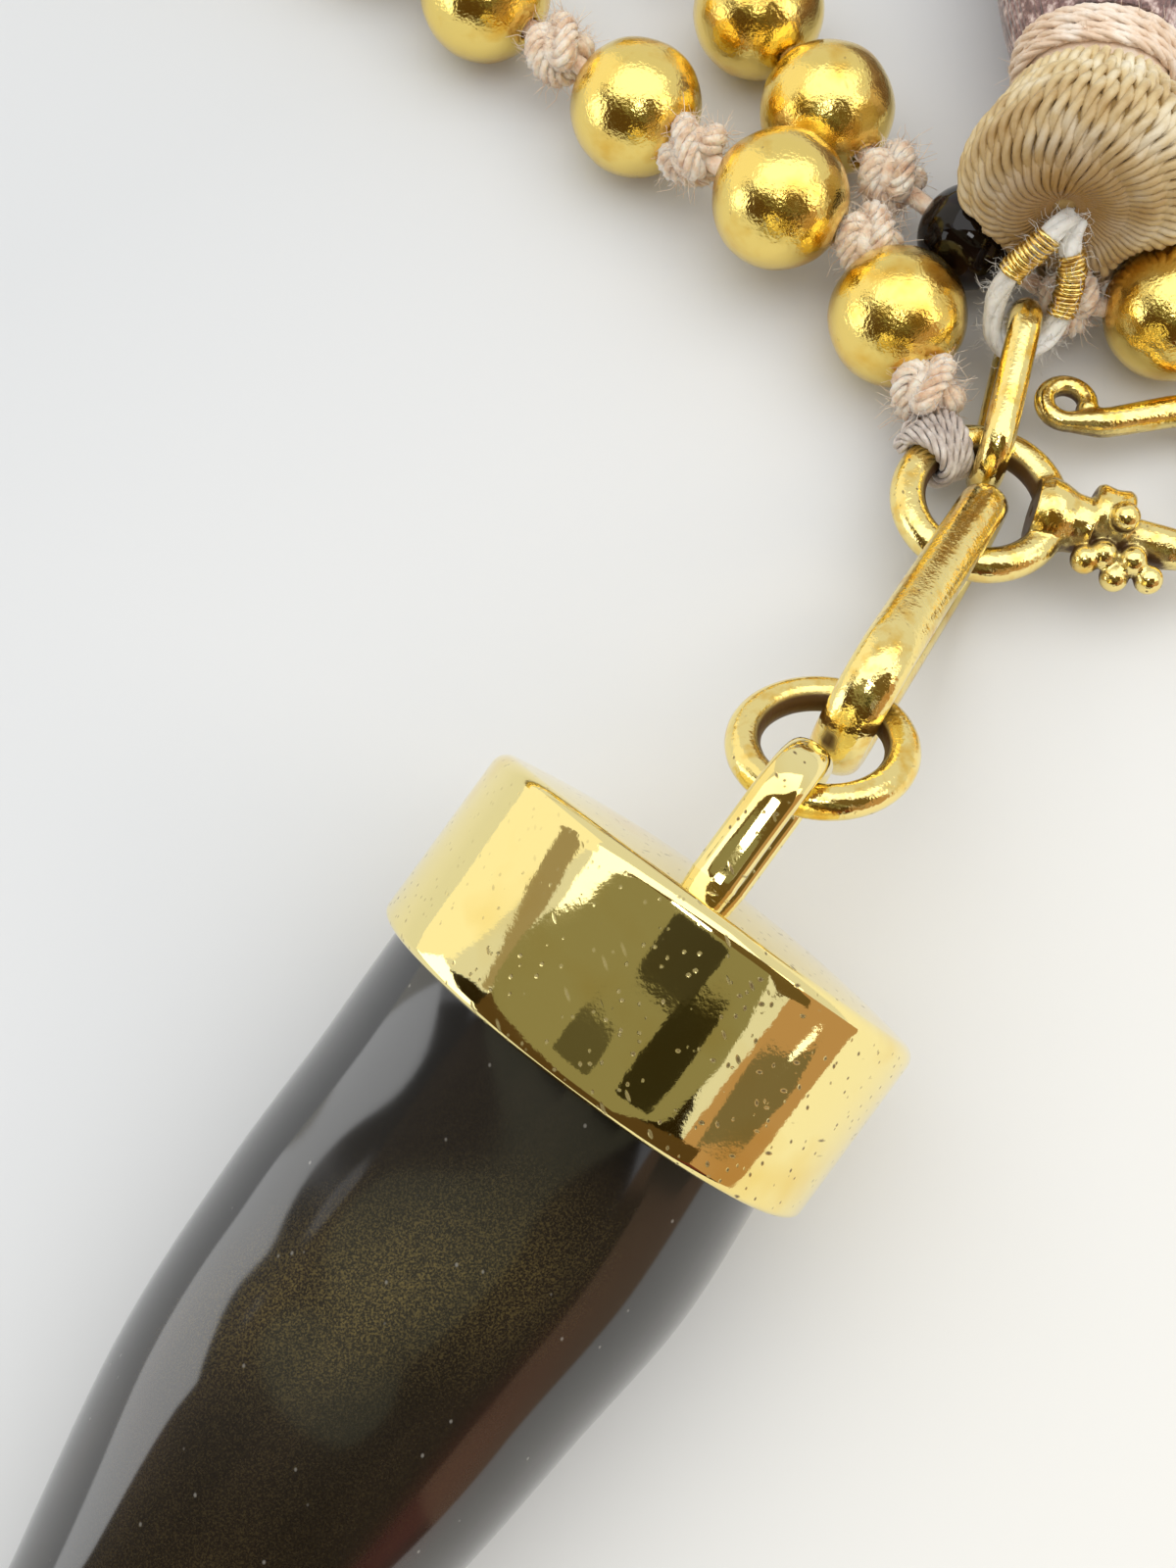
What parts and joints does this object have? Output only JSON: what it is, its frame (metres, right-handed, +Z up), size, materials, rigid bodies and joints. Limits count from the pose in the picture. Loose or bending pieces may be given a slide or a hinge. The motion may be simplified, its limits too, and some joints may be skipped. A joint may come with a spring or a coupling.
{
  "type": "beaded tassel necklace",
  "caption": "Knotted strand of round gold beads with dark stone beads, a hook clasp, a silk tassel and a tusk pendant in a gold cap, laid flat in an open loop.",
  "frame": {"origin": "middle of the footprint, on the surface that the necklace lies on", "axes": "+Z up from the surface; +Y from the tusk pendant's end of the footprint towards the far side of the bead loop; +X to the right as seen from above"},
  "size_m": [0.1986, 0.3645, 0.0189],
  "materials": {
    "gold_beads": "thin gold shell, polished, with soft dents and pits",
    "gold_wire": "gold, hand polished, darker in the recesses",
    "gold_cap": "gold, polished, with fine scratches and pits",
    "dark_beads": "dark brown stone, polished",
    "knotted_thread": "peach pink plied cotton thread, slightly fuzzy",
    "tassel_cord": "white cotton core partly wrapped in gold thread",
    "tassel_head": "champagne gold satin cords, two ply",
    "tassel_band": "peach satin thread, wound",
    "tassel_skirt": "mauve brown silk strands",
    "tusk": "near black polished horn with a golden sheen inside"
  },
  "bodies": {
    "root": {"gold_beads_left": "gold_beads", "gold_beads_right": "gold_beads", "dark_beads": "dark_beads", "knotted_thread": "knotted_thread", "hook_clasp": "gold_wire", "eye_ring": "gold_wire", "tassel_link": "gold_wire", "tassel_cord": "tassel_cord", "tassel_head": "tassel_head", "tassel_band": "tassel_band", "tassel_skirt": "tassel_skirt", "bail_link": "gold_wire", "jump_ring": "gold_wire", "tusk_cap": "gold_cap", "tusk": "tusk"}
  },
  "joints": []
}
